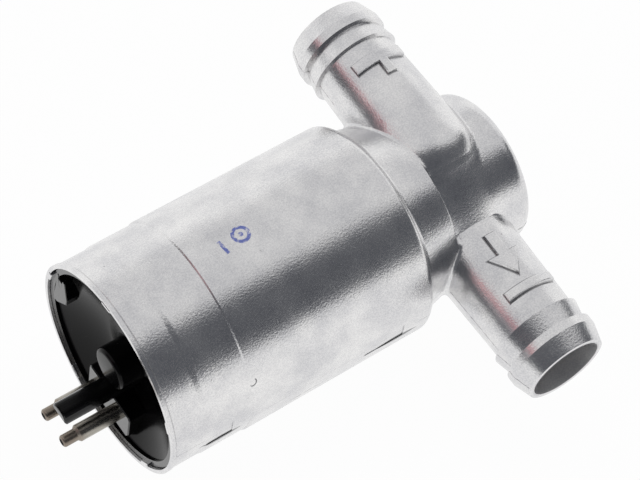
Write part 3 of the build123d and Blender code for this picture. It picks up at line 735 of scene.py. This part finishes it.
def on_casting(piece):
    """Give a piece the casting's finish and let it ride on the housing."""
    piece.data.materials.append(finishes["cast_aluminium"])
    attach(piece, "housing")


def rim_stake(angle):
    """Staked tab: a raised part on a small outline, turned round the can's axis by the angle in degrees."""
    tab = raised_part(tab_outline, tab_middle, top=rim_x - 0.12, foot=rim_x + 0.9, edge=0.2)
    cos, sin = np.cos(radians(angle)), np.sin(radians(angle))
    return tab @ np.array([[1, 0, 0], [0, cos, sin], [0, -sin, cos]])


stake_angles = first_stake + 360 // stake_count * np.arange(stake_count)
stakes = grid_piece("rim_stakes", [rim_stake(angle) for angle in stake_angles], ring=True)
on_casting(stakes)

# %% inlet hood
head_radius, hood_radius, hood_fall = 18.0, 10.8, radians(41.7)
hood_blend, hood_sheet, under_skin = 1.8, 0.4, 0.05
roof_start, roof_rise, roof_end, roof_half = -1.6, 1.2, 15, 88
sunk, proud = -0.2, 0.12
hood_middle = np.array([nozzle_x, 2.5, inlet_z])
downhill = np.array([0, -np.cos(hood_fall), -np.sin(hood_fall)])
roof, sideways = np.array([0, -np.sin(hood_fall), np.cos(hood_fall)]), np.array([1.0, 0, 0])


def hood_roof(rows, columns):
    """Half tube that runs downhill from the ball. Its distance from the can's axis is the soft maximum of
    its own and the head's: the larger one, plus a quarter of the blend where they are equal. A second
    sheet lies below it, and the two meet along every edge."""
    run = np.linspace(roof_start, roof_end, rows)
    around = np.radians(np.linspace(-roof_half, roof_half, columns))
    run, around = np.meshgrid(run, around, indexing="ij")
    radius = hood_radius + np.interp(run, [roof_start, roof_rise], [sunk, proud])
    away = np.sin(around)[..., None] * sideways + np.cos(around)[..., None] * roof
    points = hood_middle + run[..., None] * downhill + radius[..., None] * away
    x, y, z = points[..., 0], points[..., 1], points[..., 2]
    out, turn = np.hypot(y, z), np.arctan2(z, y)
    skin_radius = head_radius - under_skin
    near = np.maximum(hood_blend - np.abs(out - skin_radius), 0) / hood_blend
    out = np.maximum(out, skin_radius) + near**2 * hood_blend / 4
    inside = np.zeros((rows, columns))
    inside[1:-1, 1:-1] = hood_sheet
    sheets = np.concatenate([out, (out - inside)[:, ::-1]], axis=1)
    turn, x = (np.concatenate([part, part[:, ::-1]], axis=1) for part in (turn, x))
    return np.stack([x, sheets * np.cos(turn), sheets * np.sin(turn)], axis=-1)


hood = grid_piece("inlet_hood", [hood_roof(64, 96)], ring=True)
on_casting(hood)

# %% [markdown]
# ## Raised signs on the nozzles
# The casting carries its own directions: an arrow and a bar on the outlet, a bar with a stem on the
# inlet. They are cut into the mould, so on the part they stand about a millimetre proud with sloping
# sides. Each is a stack of rings again: the rings step from the middle over the edge and down, and the
# whole is then wrapped on the drafted tube. The rings at the foot carry painted shade that outlines a sign.

# %% raised signs
sign_height, sign_foot = 0.95, 0.35
tube_thin, tube_growth = 9.9, 0.9
sign_fill, sign_inset = [0, 0.2, 0.4, 0.6, 0.8], [0.25, 0.1, 0.0, -0.2, -0.38, -0.5]
sign_level = np.array([1, 1, 1, 1, 1, 1, 0.95, 0.8, 0.06, 0.02, -0.7, -0.7])
# painted shade at the foot of a sign, one share for each ring
sign_grime = np.array([0, 0, 0, 0, 0, 0, 0, 0.15, 1, 0.9, 0, 0])


def tube_radius(y, thin_y, thick_y):
    """Radius of a drafted nozzle: thin behind the barb at thin_y, and growing evenly to thick_y."""
    return tube_thin + tube_growth * (y - thin_y) / (thick_y - thin_y)


def raised_sign(name, corners, inner, axis_z, lean, draft):
    """Sign on a nozzle. Its corners are (across, y) in mm, with across measured round the tube from the
    angle lean. The level of each ring is added to the tube's radius, and across becomes an angle."""
    flat = stacked_rings(corners, inner, sign_inset, sign_fill)
    across, y = flat[..., 0], flat[..., 1]
    tube = tube_radius(y, *draft)
    height = np.where(sign_level > 0, sign_level * sign_height, sign_level * sign_foot)
    radius = tube + height[:, None]
    turn = radians(lean) - across / tube
    grid = np.stack([nozzle_x + radius * np.cos(turn), y, axis_z + radius * np.sin(turn)], axis=-1)
    piece = grid_piece(name, [grid], ring=True, grime=np.repeat(sign_grime, grid.shape[1]))
    on_casting(piece)


print("a sign has", len(sign_level), "rings, and its top is", sign_height, "mm up")

# %% arrow, bar and inlet sign
outlet_z, outlet_draft, inlet_draft = 0.0, (-39.95, 0.0), (29.75, 2.5)
arrow = [
    (1.3, -19.6), (1.3, -24.9), (3.6, -24.7), (0, -30.4),
    (-3.6, -24.7), (-1.3, -24.9), (-1.3, -19.6),
]
raised_sign("outlet_arrow", arrow, (0, -25.6), outlet_z, 88.0, outlet_draft)
bar = [(6.2, -32.7), (6.2, -34.8), (-6.2, -34.8), (-6.2, -32.7)]
raised_sign("outlet_bar", bar, (0, -33.75), outlet_z, 83.0, outlet_draft)
stem = [
    (6.3, 26.0), (6.3, 23.4), (1.0, 23.4), (1.0, 19.9),
    (-1.0, 19.9), (-1.0, 23.4), (-6.3, 23.4), (-6.3, 26.0),
]
raised_sign("inlet_sign", stem, (0, 24.6), inlet_z, 84.5, inlet_draft)

# %% [markdown]
# ## The mould seam
# Where the two halves of the die met, a hair of metal has squeezed out along the widest line of the
# casting. It shows as a fine line along both sides of the can and of each nozzle, finest along the
# front of the can, where it was trimmed with the gates. A line could be painted on, but a real ridge
# catches light. Points are laid out beside the casting, a ray from each finds the skin, and a small
# round profile, half of it sunk, is carried along the hits.

# %% seam runs
seam_half_width, seam_height, trimmed_height = 0.13, 0.08, 0.03
skin_tree = BVHTree.FromPolygons(
    [v.co[:] for v in nodes["valve_housing"].data.vertices],
    [p.vertices[:] for p in nodes["valve_housing"].data.polygons],
)


def land_on_skin(starts, way):
    """Where rays from the starts, in mm, all going one way, first meet the casting."""
    return np.array([skin_tree.ray_cast(Vector(start) * mm, Vector(way))[0] for start in starts]) / mm


def seam_run(start, end, way, count, height=seam_height):
    """Grid of a seam: rays from a straight line of starts find its path, and the profile is an ellipse,
    with its half width across the seam, along z, and a height that wavers along the run: one plus two
    sines that don't keep step. Both ends close on a point."""
    path = land_on_skin(np.linspace(start, end, count), way)
    out, across = -np.array(way, float), np.array([0, 0, 1.0])
    along = np.linspace(0, 1, count) * count
    waver = height * (1 + 0.4 * np.sin(along * 0.9) + 0.25 * np.sin(along * 2.3 + 1))
    ends = np.ones(count)
    ends[[0, -1]] = 0
    turn = np.linspace(0, 2 * pi, 10, endpoint=False)
    lift = (np.sin(turn)[None] * waver[:, None] * ends[:, None])[..., None] * out
    wide = (np.cos(turn)[None] * seam_half_width * ends[:, None])[..., None] * across
    return path[:, None] + lift + wide


print("side of the can at y =", round(float(land_on_skin([(0, -60, 0)], (0, 1, 0))[0, 1]), 2), "mm")

# %% seam
runs = [
    seam_run((-42.9, -60, 0), (29.2, -60, 0), (0, 1, 0), 150, trimmed_height),
    seam_run((27.0, -22.6, 0), (27.0, -50.8, 0), (1, 0, 0), 80),
    seam_run((75.0, -18.6, 0), (75.0, -50.8, 0), (-1, 0, 0), 90),
    seam_run((52.2, -60, 0), (55.9, -60, 0), (0, 1, 0), 12),
    seam_run((-42.9, 60, 0), (55.9, 60, 0), (0, -1, 0), 180),
    seam_run((20.0, 24.0, inlet_z), (20.0, 40.6, inlet_z), (1, 0, 0), 50),
    seam_run((75.0, 14.5, inlet_z), (75.0, 40.6, inlet_z), (-1, 0, 0), 70),
]
seam = grid_piece("mould_seam", runs, ring=True)
on_casting(seam)

# %% [markdown]
# ## Sizes
# The dressed valve has to stay the size of its solids. Both boxes are measured, and the growth of each
# side is printed.

# %% finish
visual_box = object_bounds()
sides = zip(cad_box[1] - cad_box[0], visual_box[1] - visual_box[0])
print("grown by", [round((after - before) * 1000, 2) for before, after in sides])
